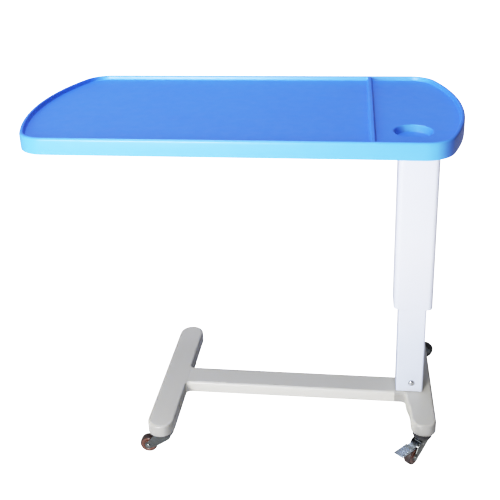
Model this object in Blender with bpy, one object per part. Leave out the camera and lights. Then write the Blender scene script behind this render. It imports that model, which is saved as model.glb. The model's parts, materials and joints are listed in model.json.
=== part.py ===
# Overbed table: moulded tray on a gas-spring column, standing on an H base with four swivel castors.
# Metres, +Z up.  The origin is on the floor under the middle of the whole outline; +X points to the
# column end of the tray and +Y to the side away from the person sitting at it.  "Left" is -X,
# "right" +X, "front" -Y and "rear" +Y.  Plan dimensions count from a datum on the beam's centre
# line, 329 mm from the column axis; CENTRE moves the datum so that the outline is centred.
import math
import bpy
import bmesh
from mathutils import Vector, Matrix

# ------------------------------------------------------------------ driving dimensions
CENTRE = (0.0185, -0.0113, 0.0)
GAP = 0.0003                      # clearance between neighbouring pieces
OVERRUN = 0.01                    # how far most cutters run past the faces they open

# tray
TRAY_L, TRAY_D = 0.856, 0.435     # length over the bowed ends, depth
TRAY_X = -0.0185                  # middle of the tray, which reaches further out on the left
TRAY_TOP = 0.741                  # rim height with the column fully down
TRAY_SKIRT = 0.032                # depth of the moulded edge
TRAY_FLOOR_DROP = 0.009           # recess of the writing surface below the rim
TRAY_WALL, TRAY_FLOOR_T = 0.004, 0.0035
END_RADIUS, CORNER_RADIUS = 0.487, 0.058
RIB_X, RIB_W = 0.2330, 0.0100     # divider rib between writing area and cup area
CUP_X, CUP_Y, CUP_R, CUP_DEPTH = 0.3065, -0.1285, 0.0355, 0.0120
TRAY_FLOOR_Z = TRAY_TOP - TRAY_FLOOR_DROP
SKIRT_Z = TRAY_TOP - TRAY_SKIRT
PAN_Z0 = SKIRT_Z + 0.0002         # closing pan under the tray
PAN_Z1 = PAN_Z0 + 0.0030

# column: widths run along X, depths along Y
COL_X = 0.3290                    # column axis
SLEEVE_W, SLEEVE_D, SLEEVE_R, SLEEVE_WALL = 0.0815, 0.0660, 0.0110, 0.003
SLEEVE_Z0, SLEEVE_Z1 = 0.2980, 0.6862
TUBE_W, TUBE_D, TUBE_R, TUBE_WALL = 0.0590, 0.0456, 0.0045, 0.002
TUBE_Z0, TUBE_Z1 = 0.0824, 0.6720
SLIP = 0.0004                     # sliding clearance of the guides
BOLT_X, BOLT_Z = 0.3330, 0.1050   # cross bolt through column and spigot
COLUMN_HOLE_R = 0.0043            # its hole in the column and in the nut
PIN_TOP = 0.7000                  # tip of the gas spring's release pin
PIVOT_X, PIVOT_Z = 0.3540, 0.6990     # release lever pivot
PIVOT = (PIVOT_X, 0, PIVOT_Z)
AT_COLUMN = (COL_X, 0, 0)

# tray support: head plate on the sleeve, with two rails running along the tray
HEAD_Z0 = SLEEVE_Z1 + GAP
HEAD_Z1 = HEAD_Z0 + 0.0040
RAIL_Z0, RAIL_Z1 = HEAD_Z1 - 0.0005, SKIRT_Z - GAP
RAIL_X0, RAIL_X1 = -0.295, 0.378
RAIL_W, RAIL_WALL = 0.025, 0.0018
RAILS = (("front", -0.055), ("rear", 0.055))
SCREW_XY = [(x, y) for _, y in RAILS for x in (-0.255, -0.020, 0.210)]
SCREW_HOLE_R = 0.0026
ROD_HOLE_R = 0.0053

# base covers
BASE_TOP, BASE_BOTTOM = 0.0820, 0.0560
COVER_WALL, COVER_TOP_T = 0.0025, 0.0028
BEAM_HALF_D = 0.0560 / 2
LFOOT_X0, LFOOT_X1 = -0.2315, -0.1740
LFOOT_Y0, LFOOT_Y1 = -0.1790, 0.1940
RFOOT_X0, RFOOT_X1 = 0.3277, 0.3802
RFOOT_Y0, RFOOT_Y1 = -0.1330, 0.2400
HUB_X0 = 0.2966                   # end of the tongue under the column
BULGE_X = 0.3205                  # furthest reach of the right foot's swelling

# steel frame inside the covers
FRAME_Z0, FRAME_Z1 = 0.0590, 0.0770
BAR_W, BAR_WALL = 0.0340, 0.0025
SPIGOT_W = TUBE_W - 2 * TUBE_WALL - 2 * GAP
SPIGOT_D = TUBE_D - 2 * TUBE_WALL - 2 * GAP
SPIGOT_R = 0.0025
SPIGOT_Z1 = 0.1350

# castors
WHEEL_R, WHEEL_W = 0.0190, 0.0160
AXLE_Z = WHEEL_R
TRAIL = 0.0360                    # swivel axis to axle
STEM_R = 0.0050
CHEEK_Y, CHEEK_T = 0.0094, 0.0018     # inner face and thickness of the fork cheeks
CASTORS = {                       # swivel x, y, heading of the trailing wheel in degrees, braked
    "front_left": (-0.1965, -0.1545, 180.0, False),
    "rear_left": (-0.2000, 0.1600, 270.0, True),
    "front_right": (0.3515, -0.1185, 231.0, True),
    "rear_right": (0.3565, 0.2065, 30.0, False),
}
CASTOR_XY = [entry[:2] for entry in CASTORS.values()]

LOOKS = {
    "blue_plastic": dict(rgb=(0.10, 0.31, 0.90), roughness=0.35),
    "pale_grey_plastic": dict(rgb=(0.56, 0.54, 0.51), roughness=0.42),
    "white_paint": dict(rgb=(0.80, 0.83, 0.93), roughness=0.38),
    "steel": dict(rgb=(0.42, 0.44, 0.45), roughness=0.32, metallic=1.0),
    "bright_steel": dict(rgb=(0.62, 0.63, 0.64), roughness=0.22, metallic=1.0),
    "frame_paint": dict(rgb=(0.30, 0.30, 0.31), roughness=0.55),
    "nylon": dict(rgb=(0.07, 0.07, 0.075), roughness=0.50),
    "amber_hub": dict(rgb=(0.40, 0.13, 0.06), roughness=0.35),
    "black_tyre": dict(rgb=(0.035, 0.030, 0.028), roughness=0.60),
    "black_plastic": dict(rgb=(0.02, 0.02, 0.022), roughness=0.45),
}

# ------------------------------------------------------------------ scene set-up
for old in list(bpy.data.objects):
    bpy.data.objects.remove(old, do_unlink=True)

parts = bpy.data.collections.new("overbed_table")
tools = bpy.data.collections.new("cutters")
bpy.context.scene.collection.children.link(parts)
bpy.context.scene.collection.children.link(tools)

root = bpy.data.objects.new("table_centre", None)
parts.objects.link(root)
root.location = CENTRE


def material(name, rgb, roughness, metallic=0.0):
    mat = bpy.data.materials.new(name)
    mat.use_nodes = True
    shader = mat.node_tree.nodes["Principled BSDF"]
    shader.inputs["Base Color"].default_value = (*rgb, 1.0)
    shader.inputs["Roughness"].default_value = roughness
    shader.inputs["Metallic"].default_value = metallic
    mat.diffuse_color = (*rgb, 1.0)
    return mat


def link_mesh(name, bm, collection, parent, loc):
    bmesh.ops.recalc_face_normals(bm, faces=bm.faces[:])
    mesh = bpy.data.meshes.new(name)
    bm.to_mesh(mesh)
    bm.free()
    ob = bpy.data.objects.new(name, mesh)
    collection.objects.link(ob)
    ob.location = loc
    ob.parent = parent or root
    return ob


def add_object(name, bm, look, parent=None, loc=(0, 0, 0), smooth=35.0):
    """Finished piece; edges steeper than smooth (degrees) stay sharp."""
    ob = link_mesh(name, bm, parts, parent, loc)
    ob.data.materials.append(material(look, **LOOKS[look]))
    ob.data.shade_smooth()
    ob.data.set_sharp_from_angle(angle=math.radians(smooth))
    return ob


def boolean(ob, operation, name, bm, parent, loc):
    tool = link_mesh(name, bm, tools, parent, loc)
    tool.hide_render = True
    tool.display_type = 'WIRE'
    mod = ob.modifiers.new(operation.lower() + "_" + name, 'BOOLEAN')
    mod.operation = operation
    mod.solver = 'EXACT'
    mod.object = tool


def cut(ob, name, bm, parent=None, loc=(0, 0, 0)):
    boolean(ob, 'DIFFERENCE', name, bm, parent, loc)


def join(ob, name, bm, parent=None, loc=(0, 0, 0)):
    boolean(ob, 'UNION', name, bm, parent, loc)


def empty(name, loc, rotation=(0.0, 0.0, 0.0), parent=None):
    ob = bpy.data.objects.new(name, None)
    ob.empty_display_size = 0.02
    parts.objects.link(ob)
    ob.location = loc
    ob.rotation_euler = rotation
    ob.parent = parent or root
    return ob


# ------------------------------------------------------------------ solids
def box(x0, x1, y0, y1, z0, z1):
    bm = bmesh.new()
    bmesh.ops.create_cube(bm, size=1.0)
    middle = ((x0 + x1) / 2, (y0 + y1) / 2, (z0 + z1) / 2)
    bmesh.ops.scale(bm, vec=(x1 - x0, y1 - y0, z1 - z0), verts=bm.verts[:])
    bmesh.ops.translate(bm, vec=middle, verts=bm.verts[:])
    return bm


def cylinder(radius, start, end, seg, bm=None, end_radius=None):
    """Cylinder or cone between two points, added to bm if one is given."""
    bm = bm or bmesh.new()
    start, end = Vector(start), Vector(end)
    axis = end - start
    made = bmesh.ops.create_cone(bm, cap_ends=True, segments=seg, radius1=radius,
                                 radius2=radius if end_radius is None else end_radius,
                                 depth=axis.length)
    turn = Vector((0, 0, 1)).rotation_difference(axis.normalized()).to_matrix().to_4x4()
    bmesh.ops.transform(bm, matrix=Matrix.Translation((start + end) / 2) @ turn,
                        verts=made["verts"])
    return bm


def posts(radius, spots, z0, z1, seg, bm=None):
    """Upright cylinders, one at each (x, y) spot."""
    bm = bm or bmesh.new()
    for x, y in spots:
        cylinder(radius, (x, y, z0), (x, y, z1), seg, bm)
    return bm


def cross_rod(radius, x, z, half, seg):
    """Cylinder along Y reaching half to either side of the XZ plane."""
    return cylinder(radius, (x, -half, z), (x, half, z), seg)


def prism(outline, z0, z1):
    """Solid with the given plan outline; returns the mesh, its top face and its bottom face."""
    bm = bmesh.new()
    face = bm.faces.new([bm.verts.new((x, y, z0)) for x, y in outline])
    face.normal_update()
    if face.normal.z > 0:
        face.normal_flip()
    made = bmesh.ops.extrude_face_region(bm, geom=[face])
    raised = [v for v in made["geom"] if isinstance(v, bmesh.types.BMVert)]
    bmesh.ops.translate(bm, vec=(0, 0, z1 - z0), verts=raised)
    bmesh.ops.recalc_face_normals(bm, faces=bm.faces[:])
    bm.faces.ensure_lookup_table()
    top = max(bm.faces, key=lambda f: f.calc_center_median().z)
    bottom = min(bm.faces, key=lambda f: f.calc_center_median().z)
    return bm, top, bottom


def inset(bm, face, thickness, depth=0.0):
    bmesh.ops.inset_region(bm, faces=[face], thickness=thickness, depth=depth,
                           use_even_offset=True, use_boundary=True)


def rings(bm, face, steps):
    """Step a face inwards ring by ring: (inset, rise along the face's normal)."""
    for thickness, depth in steps:
        inset(bm, face, thickness, depth)


def turned(profile, seg, ring=False):
    """Turn (radius, height) points about Z: a closed loop for a ring, else axis to axis."""
    bm = bmesh.new()
    verts = [bm.verts.new((radius, 0.0, z)) for radius, z in profile]
    following = verts[1:] + verts[:1] if ring else verts[1:]
    edges = [bm.edges.new(pair) for pair in zip(verts, following)]
    bmesh.ops.spin(bm, geom=verts + edges, cent=(0, 0, 0), axis=(0, 0, 1),
                   angle=2 * math.pi, steps=seg)
    bmesh.ops.remove_doubles(bm, verts=bm.verts[:], dist=0.00002)
    return bm


def rotate(bm, degrees, axis):
    bmesh.ops.rotate(bm, cent=(0, 0, 0), matrix=Matrix.Rotation(math.radians(degrees), 3, axis),
                     verts=bm.verts[:])
    return bm


def lay_down(bm):
    """Turn a shape made about Z so that its top points to -Y."""
    return rotate(bm, 90, 'X')


# ------------------------------------------------------------------ outlines
def mirrored(points):
    """The points with their second coordinate negated, in reverse order."""
    return [(x, -y) for x, y in reversed(points)]


def rectangle(x0, x1, y0, y1):
    return [(x0, y0), (x1, y0), (x1, y1), (x0, y1)]


def rounded_rect(x, y, width, depth, radius, steps):
    points = []
    for k, (side_x, side_y) in enumerate(((1, 1), (-1, 1), (-1, -1), (1, -1))):
        for i in range(steps + 1):
            angle = math.radians(90 * k + 90 * i / steps)
            points.append((x + side_x * (width / 2 - radius) + radius * math.cos(angle),
                           y + side_y * (depth / 2 - radius) + radius * math.sin(angle)))
    return points


def tray_outline(grow=0.0, end_steps=8, corner_steps=6):
    """Straight long sides and bowed ends, with corner arcs tangent to the long end arc."""
    end_x = TRAY_L / 2 - END_RADIUS
    corner_y = TRAY_D / 2 - CORNER_RADIUS
    corner_x = end_x + math.sqrt((END_RADIUS - CORNER_RADIUS) ** 2 - corner_y ** 2)
    meet = math.atan2(corner_y, corner_x - end_x)       # angle at which the two arcs meet
    corner = []
    for i in range(corner_steps):                       # from the long side round to the end
        angle = math.radians(90) + (meet - math.radians(90)) * i / corner_steps
        corner.append((corner_x + (CORNER_RADIUS + grow) * math.cos(angle),
                       corner_y + (CORNER_RADIUS + grow) * math.sin(angle)))
    end = []
    for i in range(end_steps + 1):
        angle = meet - 2 * meet * i / end_steps
        end.append((end_x + (END_RADIUS + grow) * math.cos(angle),
                    (END_RADIUS + grow) * math.sin(angle)))
    right = corner + end + mirrored(corner)             # clockwise down the +X end
    left = [(-x, -y) for x, y in right]
    return [(x + TRAY_X, y) for x, y in right + left]


def foot_outline(x0, x1, y0, y1, end_length, steps=6):
    """Long foot with rounded ends, the rear end first, counter-clockwise from the right side."""
    mid_x, half_w = (x0 + x1) / 2, (x1 - x0) / 2
    power = 0.95                                        # ends slightly leaner than an ellipse
    points = []
    for start, y_base, side in ((0.0, y1 - end_length, 1), (math.pi, y0 + end_length, -1)):
        for i in range(2 * steps + 1):
            angle = start + math.pi * i / (2 * steps)
            c, s = math.cos(angle), math.sin(angle)
            points.append((mid_x + half_w * math.copysign(abs(c) ** power, c),
                           y_base + side * end_length * abs(s) ** power))
    return points


def right_foot_outline():
    """Narrow foot with a swelling and a tongue on its left side, reaching under the column."""
    foot = foot_outline(RFOOT_X0, RFOOT_X1, RFOOT_Y0, RFOOT_Y1, 0.025)
    y_flat, y_end, steps = 0.040, 0.090, 6
    bulge = []
    for i in range(steps + 1):                          # rear half, running towards the beam
        u = i / steps
        bulge.append((RFOOT_X0 + (BULGE_X - RFOOT_X0) * (3 * u * u - 2 * u ** 3),
                      y_end + (y_flat - y_end) * u))
    bulge += [(BULGE_X - 0.0006, BEAM_HALF_D + 0.0090), (BULGE_X - 0.0026, BEAM_HALF_D + 0.0030),
              (BULGE_X - 0.0080, BEAM_HALF_D), (HUB_X0, BEAM_HALF_D)]
    half = len(foot) // 2                               # between the rear and the front end
    return foot[:half] + bulge + mirrored(bulge) + foot[half:]


def inset_outline(outline, distance):
    bm = bmesh.new()
    face = bm.faces.new([bm.verts.new((x, y, 0)) for x, y in outline])
    bm.normal_update()
    inset(bm, face, distance)
    points = [(v.co.x, v.co.y) for v in face.verts]
    bm.free()
    return points


# ------------------------------------------------------------------ tray
RIM_RISE = 0.0040
RIM_STEPS = [                     # over the rolled rim, then down to the writing surface
    (0.0008, 0.0022), (0.0022, 0.0015), (0.0028, 0.0003),
    (0.0012, -0.0007), (0.0016, 0.0017 - TRAY_FLOOR_DROP), (0.0012, -0.0010),
]


def build_tray_top():
    bm, top, bottom = prism(tray_outline(), SKIRT_Z, TRAY_TOP - RIM_RISE)
    rings(bm, top, RIM_STEPS)
    hollow = TRAY_SKIRT - TRAY_FLOOR_DROP - TRAY_FLOOR_T
    rings(bm, bottom, [(TRAY_WALL, 0.0), (0.0004, -hollow)])
    tray = add_object("tray_top", bm, "blue_plastic")

    boss_z1 = TRAY_FLOOR_Z - 0.0015                     # bosses end inside the floor's thickness
    bosses = posts(0.0060, SCREW_XY, PAN_Z1 + GAP, boss_z1, 10)
    posts(CUP_R + 0.0035, [(CUP_X, CUP_Y)], TRAY_FLOOR_Z - CUP_DEPTH - 0.003, boss_z1, 32, bosses)
    join(tray, "tray_bosses", bosses)

    half_rib = TRAY_D / 2 - 0.0085
    rib, rib_top, _ = prism(rectangle(RIB_X - RIB_W / 2, RIB_X + RIB_W / 2, -half_rib, half_rib),
                            TRAY_FLOOR_Z - 0.0012, TRAY_TOP - 0.0042)
    rings(rib, rib_top, [(0.0008, 0.0014), (0.0016, 0.0010)])
    join(tray, "tray_divider_rib", rib)

    cut(tray, "cup_recess", cylinder(CUP_R - 0.0060, (CUP_X, CUP_Y, TRAY_FLOOR_Z - CUP_DEPTH),
                                     (CUP_X, CUP_Y, TRAY_FLOOR_Z + 0.0005), 32, end_radius=CUP_R))
    cut(tray, "tray_screw_pilots", posts(0.0023, SCREW_XY, SKIRT_Z, TRAY_FLOOR_Z - 0.0050, 8))


def build_underpan():
    bm, _, _ = prism(tray_outline(-(TRAY_WALL + 0.0005)), PAN_Z0, PAN_Z1)
    pan = add_object("tray_underpan", bm, "blue_plastic")
    cut(pan, "underpan_holes", posts(SCREW_HOLE_R, SCREW_XY, PAN_Z0 - 0.002, PAN_Z0 + 0.005, 8))


# ------------------------------------------------------------------ tray support
def build_tray_frame():
    bm, _, _ = prism(rounded_rect(0.3195, 0.0, 0.0850, 0.1500, 0.008, 2), HEAD_Z0, HEAD_Z1)
    support = add_object("tray_frame", bm, "frame_paint")
    for tag, y in RAILS:
        join(support, "rail_" + tag,
             box(RAIL_X0, RAIL_X1, y - RAIL_W / 2, y + RAIL_W / 2, RAIL_Z0, RAIL_Z1))
        cut(support, "rail_bore_" + tag,
            box(RAIL_X0 - OVERRUN, RAIL_X1 + OVERRUN,
                y - RAIL_W / 2 + RAIL_WALL, y + RAIL_W / 2 - RAIL_WALL,
                RAIL_Z0 + RAIL_WALL, RAIL_Z1 - RAIL_WALL))
    # rod hole, then a screw hole with a wide access hole below it for each screw
    holes = posts(ROD_HOLE_R, [(COL_X, 0)], HEAD_Z0 - OVERRUN, HEAD_Z1 + OVERRUN, 16)
    access_z1 = HEAD_Z1 + GAP + 0.006
    for spot in SCREW_XY:
        posts(SCREW_HOLE_R, [spot], access_z1, RAIL_Z1 + OVERRUN, 8, holes)
        posts(0.0060, [spot], HEAD_Z1 + GAP - OVERRUN, access_z1, 8, holes)
    cut(support, "tray_frame_holes", holes)


def build_tray_screws():
    """Pan-head screws, driven up through the rails."""
    head_top = RAIL_Z1 - RAIL_WALL - GAP
    head_bottom = RAIL_Z1 - 0.0042
    tip = TRAY_FLOOR_Z - 0.0056
    profile = [(0.0, head_bottom), (0.0040, head_bottom), (0.0042, head_top),
               (0.0020, head_top), (0.0020, tip), (0.0, tip)]
    for k, (x, y) in enumerate(SCREW_XY):
        add_object("tray_screw_%d" % (k + 1), turned(profile, 8), "steel", loc=(x, y, 0))


# ------------------------------------------------------------------ telescoping column
def tube(name, look, outer, inner, z0, z1):
    """Tube on the column axis; outer and inner are (width, depth, radius, corner steps)."""
    bm, _, _ = prism(rounded_rect(COL_X, 0, *outer), z0, z1)
    ob = add_object(name, bm, look)
    bore, _, _ = prism(rounded_rect(COL_X, 0, *inner), z0 - OVERRUN, z1 + OVERRUN)
    cut(ob, name + "_bore", bore)
    return ob


def build_column():
    bore_w, bore_d = SLEEVE_W - 2 * SLEEVE_WALL, SLEEVE_D - 2 * SLEEVE_WALL
    bore_r = SLEEVE_R - SLEEVE_WALL
    tube("outer_sleeve", "white_paint", (SLEEVE_W, SLEEVE_D, SLEEVE_R, 6),
         (bore_w, bore_d, bore_r, 4), SLEEVE_Z0, SLEEVE_Z1)
    column = tube("inner_column", "white_paint", (TUBE_W, TUBE_D, TUBE_R, 4),
                  (TUBE_W - 2 * TUBE_WALL, TUBE_D - 2 * TUBE_WALL, TUBE_R - TUBE_WALL, 2),
                  TUBE_Z0, TUBE_Z1)
    cut(column, "column_bolt_holes", cross_rod(COLUMN_HOLE_R, BOLT_X, BOLT_Z, 0.04, 16))
    # the bush is fixed in the sleeve and slides on the tube; the glide is the other way round
    for name, outside, inside, z0, z1 in (
            ("sleeve_guide_bush", GAP, SLIP, SLEEVE_Z0 + 0.0012, SLEEVE_Z0 + 0.0300),
            ("column_top_glide", SLIP, GAP, TUBE_Z1 - 0.0300, TUBE_Z1 - 0.0005)):
        tube(name, "nylon", (bore_w - 2 * outside, bore_d - 2 * outside, bore_r, 4),
             (TUBE_W + 2 * inside, TUBE_D + 2 * inside, TUBE_R + inside, 4), z0, z1)


# ------------------------------------------------------------------ base frame
LFOOT_MID = (LFOOT_X0 + LFOOT_X1) / 2
RFOOT_MID = (RFOOT_X0 + RFOOT_X1) / 2
LBAR_HALF, RBAR_HALF = 0.020, 0.016
FOOT_BARS = (                     # tag, middle x, half width, foot y0, y1, end setback, bore overrun
    ("left", LFOOT_MID, LBAR_HALF, LFOOT_Y0, LFOOT_Y1, 0.016, 0.0),
    ("right", RFOOT_MID, RBAR_HALF, RFOOT_Y0, RFOOT_Y1, 0.013, OVERRUN),
)


def build_base_frame():
    """One welded piece: cross bar, two foot bars and the spigot that carries the column."""
    frame = add_object("base_frame", box(LFOOT_MID - LBAR_HALF, RFOOT_MID + RBAR_HALF,
                                         -BAR_W / 2, BAR_W / 2, FRAME_Z0, FRAME_Z1), "frame_paint")
    for tag, mid, half, y0, y1, setback, _ in FOOT_BARS:
        join(frame, "frame_%s_bar" % tag,
             box(mid - half, mid + half, y0 + setback, y1 - setback, FRAME_Z0, FRAME_Z1))
    spigot, _, _ = prism(rounded_rect(COL_X, 0, SPIGOT_W, SPIGOT_D, SPIGOT_R, 2),
                         FRAME_Z1 - 0.004, SPIGOT_Z1)
    join(frame, "frame_column_spigot", spigot)

    bore_z0, bore_z1 = FRAME_Z0 + BAR_WALL, FRAME_Z1 - BAR_WALL
    cut(frame, "frame_cross_bore", box(LFOOT_MID - 0.030, RFOOT_MID + 0.030, -BAR_W / 2 + BAR_WALL,
                                       BAR_W / 2 - BAR_WALL, bore_z0, bore_z1))
    for tag, mid, half, y0, y1, _, overrun in FOOT_BARS:
        cut(frame, "frame_%s_bore" % tag,
            box(mid - half + BAR_WALL, mid + half - BAR_WALL, y0 - overrun, y1 + overrun,
                bore_z0, bore_z1))

    # solid bosses that take the castor stems
    join(frame, "frame_stem_bosses", posts(0.0080, CASTOR_XY, FRAME_Z0, FRAME_Z1, 16))
    core, _, _ = prism(rounded_rect(COL_X, 0, SPIGOT_W - 0.010, SPIGOT_D - 0.010, 0.001, 1),
                       FRAME_Z1 + 0.003, SPIGOT_Z1 - 0.006)
    cut(frame, "frame_spigot_core", core)
    cut(frame, "frame_bolt_hole", cross_rod(0.0044, BOLT_X, BOLT_Z, 0.04, 16))
    cut(frame, "frame_stem_holes", posts(0.0055, CASTOR_XY, 0.050, 0.090, 12))


def build_cross_bolt():
    """Domed bolt from the front that holds the column on the spigot, with its nut at the rear."""
    seat_y = TUBE_D / 2 + GAP
    shank = TUBE_D + 2 * GAP + 0.0042
    bolt = lay_down(turned([
        (0.0, 0.0046), (0.0026, 0.0044), (0.0048, 0.0036), (0.0062, 0.0022), (0.0068, 0.0008),
        (0.0068, 0.0), (0.0040, 0.0), (0.0040, -shank), (0.0, -shank)], 20))
    bmesh.ops.translate(bolt, vec=(BOLT_X, -seat_y, BOLT_Z), verts=bolt.verts[:])
    add_object("column_cross_bolt", bolt, "bright_steel")

    bm = lay_down(turned([(COLUMN_HOLE_R, 0.0), (0.0070, 0.0), (0.0070, 0.0050),
                          (0.0060, 0.0060), (COLUMN_HOLE_R, 0.0060)], 6, ring=True))
    rotate(bm, 180, 'Z')
    bmesh.ops.translate(bm, vec=(BOLT_X, seat_y, BOLT_Z), verts=bm.verts[:])
    nut = add_object("column_cross_nut", bm, "bright_steel", smooth=20)
    # rounds out the six-sided hole left by the six turning steps
    cut(nut, "nut_bore", cylinder(COLUMN_HOLE_R, (BOLT_X, TUBE_D / 2 - 0.005, BOLT_Z),
                                  (BOLT_X, TUBE_D / 2 + 0.02, BOLT_Z), 16))


# ------------------------------------------------------------------ lockable gas spring
def build_gas_spring():
    z0, z1 = SPIGOT_Z1 + GAP, 0.4300
    bm = turned([(0.0057, z1), (0.0120, z1), (0.0140, z1 - 0.002), (0.0140, z0 + 0.0015),
                 (0.0130, z0), (0.0057, z0)], 24, ring=True)
    add_object("gas_spring_cylinder", bm, "black_plastic", loc=AT_COLUMN)

    rod_z0, rod_z1 = 0.1500, HEAD_Z1 + 0.0062
    bm = turned([(0.0024, rod_z1), (0.0042, rod_z1), (0.0050, rod_z1 - 0.0008),
                 (0.0050, rod_z0), (0.0024, rod_z0)], 20, ring=True)
    add_object("gas_spring_rod", bm, "bright_steel", loc=AT_COLUMN)

    nut_r = 0.0092
    hexagon = [(nut_r * math.cos(math.radians(60 * k)), nut_r * math.sin(math.radians(60 * k)))
               for k in range(6)]
    bm, top, _ = prism(hexagon, HEAD_Z1 + GAP, HEAD_Z1 + 0.0042)
    rings(bm, top, [(0.0010, 0.0006)])
    nut = add_object("rod_lock_nut", bm, "steel", loc=AT_COLUMN, smooth=20)
    cut(nut, "lock_nut_bore",
        posts(ROD_HOLE_R, [(COL_X, 0)], HEAD_Z1 - OVERRUN, HEAD_Z1 + 0.02, 20))

    tip_rise = 0.0006
    bm = cylinder(0.0020, (0, 0, PIN_TOP - 0.0240), (0, 0, PIN_TOP - tip_rise), 12)
    tip = max(bm.faces, key=lambda f: f.calc_center_median().z)
    rings(bm, tip, [(0.0006, tip_rise)])
    add_object("release_pin", bm, "bright_steel", loc=AT_COLUMN)


# ------------------------------------------------------------------ release lever
# Squeezing the paddle up against the tray tips the arm down onto the release pin.
# Lever, grip and pivot pin are dimensioned from the pivot.
LEVER_HALF_W = 0.0080
PIVOT_HOLE_R = 0.0023


def build_lever():
    arm_z0, arm_z1 = PIN_TOP + 0.0005 - PIVOT_Z, PIN_TOP + 0.0035 - PIVOT_Z
    paddle_z0 = -0.0070
    arm = box(COL_X - 0.007 - PIVOT_X, 0.0090, -LEVER_HALF_W, LEVER_HALF_W, arm_z0, arm_z1)
    lever = add_object("release_lever", arm, "steel", loc=PIVOT)
    join(lever, "lever_boss", cross_rod(0.0040, 0, 0, LEVER_HALF_W, 16), loc=PIVOT)
    join(lever, "lever_web",
         box(0.0065, 0.0095, -LEVER_HALF_W, LEVER_HALF_W, paddle_z0, arm_z1), loc=PIVOT)
    join(lever, "lever_paddle",
         box(0.0070, 0.0340, -0.0120, 0.0120, paddle_z0, -0.0045), loc=PIVOT)
    cut(lever, "lever_bore", cross_rod(PIVOT_HOLE_R, 0, 0, 0.02, 14), loc=PIVOT)


def build_lever_grip():
    """Plastic grip pushed over the paddle."""
    x0, x1 = 0.0120, 0.0400
    bm, top, bottom = prism(rounded_rect((x0 + x1) / 2, 0, x1 - x0, 0.0320, 0.007, 4),
                            -0.0096, -0.0036)
    for face in (top, bottom):
        rings(bm, face, [(0.0008, 0.0008)])
    grip = add_object("lever_grip", bm, "black_plastic", loc=PIVOT)
    cut(grip, "grip_slot", box(0.0, 0.0343, -0.0123, 0.0123, -0.0073, -0.0042), loc=PIVOT)


def build_lever_bracket():
    bm = box(PIVOT_X - 0.0080, PIVOT_X + 0.0060, -0.0150, 0.0150, HEAD_Z1 + GAP, HEAD_Z1 + 0.0020)
    bracket = add_object("lever_bracket", bm, "frame_paint")
    for tag, y0, y1 in (("front", -0.0108, -0.0086), ("rear", 0.0086, 0.0108)):
        join(bracket, "bracket_ear_" + tag, box(PIVOT_X - 0.0055, PIVOT_X + 0.0055, y0, y1,
                                                HEAD_Z1 + 0.0005, PIVOT_Z + 0.0050))
    cut(bracket, "bracket_bore", cross_rod(PIVOT_HOLE_R, PIVOT_X, PIVOT_Z, 0.03, 14))
    pin = lay_down(cylinder(0.0019, (0, 0, -0.0125), (0, 0, 0.0125), 14))
    add_object("lever_pivot_pin", pin, "bright_steel", loc=PIVOT)


# ------------------------------------------------------------------ base covers
EDGE = [(0.0006, 0.0016), (0.0016, 0.0012), (0.0026, 0.0005)]      # rounded top edge
EDGE_Z0 = BASE_TOP - sum(rise for _, rise in EDGE)


def base_plate(name, outline):
    bm, _, _ = prism(outline, BASE_BOTTOM + GAP, BASE_BOTTOM + 0.0022)
    return add_object(name, bm, "nylon")


def build_foot(tag, outline, castor_spots, passage_x0, passage_x1):
    """Hollow foot cover, open to the cross bar, and the plate that closes it; returns the cover."""
    bm, top, bottom = prism(outline, BASE_BOTTOM, EDGE_Z0)
    rings(bm, top, EDGE)
    rings(bm, bottom, [(COVER_WALL, 0.0), (0.0003, -(BASE_TOP - BASE_BOTTOM - COVER_TOP_T))])
    cover = add_object(tag + "_foot_cover", bm, "pale_grey_plastic")
    cut(cover, tag + "_passage", box(passage_x0, passage_x1, -BAR_W / 2 - GAP, BAR_W / 2 + GAP,
                                     BASE_BOTTOM - 0.002, FRAME_Z1 + GAP))
    plate = base_plate(tag + "_foot_base_plate", inset_outline(outline, COVER_WALL + GAP))
    cut(plate, tag + "_plate_holes", posts(0.0057, castor_spots, 0.050, 0.070, 12))
    return cover


def build_feet():
    build_foot("left", foot_outline(LFOOT_X0, LFOOT_X1, LFOOT_Y0, LFOOT_Y1, 0.030),
               [spot for spot in CASTOR_XY if spot[0] < 0.0], LFOOT_X1 - 0.010, LFOOT_X1 + 0.012)
    cover = build_foot("right", right_foot_outline(),
                       [spot for spot in CASTOR_XY if spot[0] > 0.0],
                       HUB_X0 - 0.012, HUB_X0 + 0.010)
    spigot, _, _ = prism(rounded_rect(COL_X, 0, SPIGOT_W + 2 * GAP, SPIGOT_D + 2 * GAP,
                                      SPIGOT_R, 2), FRAME_Z1 - 0.0055, BASE_TOP + OVERRUN)
    cut(cover, "spigot_passage", spigot)


def build_beam():
    """Beam cover butting against both feet, flared into the left one with small fillets."""
    x0, x1 = LFOOT_X1 + GAP, HUB_X0 - GAP
    radius, steps = 0.0085, 4
    fillet = []
    for i in range(steps + 1):
        angle = math.radians(90 * i / steps)
        fillet.append((x0 + radius - radius * math.sin(angle),
                       BEAM_HALF_D + radius - radius * math.cos(angle)))
    outline = [(x1, -BEAM_HALF_D), (x1, BEAM_HALF_D)] + fillet + mirrored(fillet)
    bm, top, _ = prism(outline, BASE_BOTTOM, EDGE_Z0)
    rings(bm, top, EDGE)
    cover = add_object("cross_beam_cover", bm, "pale_grey_plastic")
    inner_y = BEAM_HALF_D - COVER_WALL
    cut(cover, "beam_channel", box(x0 - OVERRUN, x1 + OVERRUN, -inner_y, inner_y,
                                   BASE_BOTTOM - OVERRUN, BASE_TOP - COVER_TOP_T))
    base_plate("beam_base_plate", rectangle(x0, x1, -(inner_y - GAP), inner_y - GAP))


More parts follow.
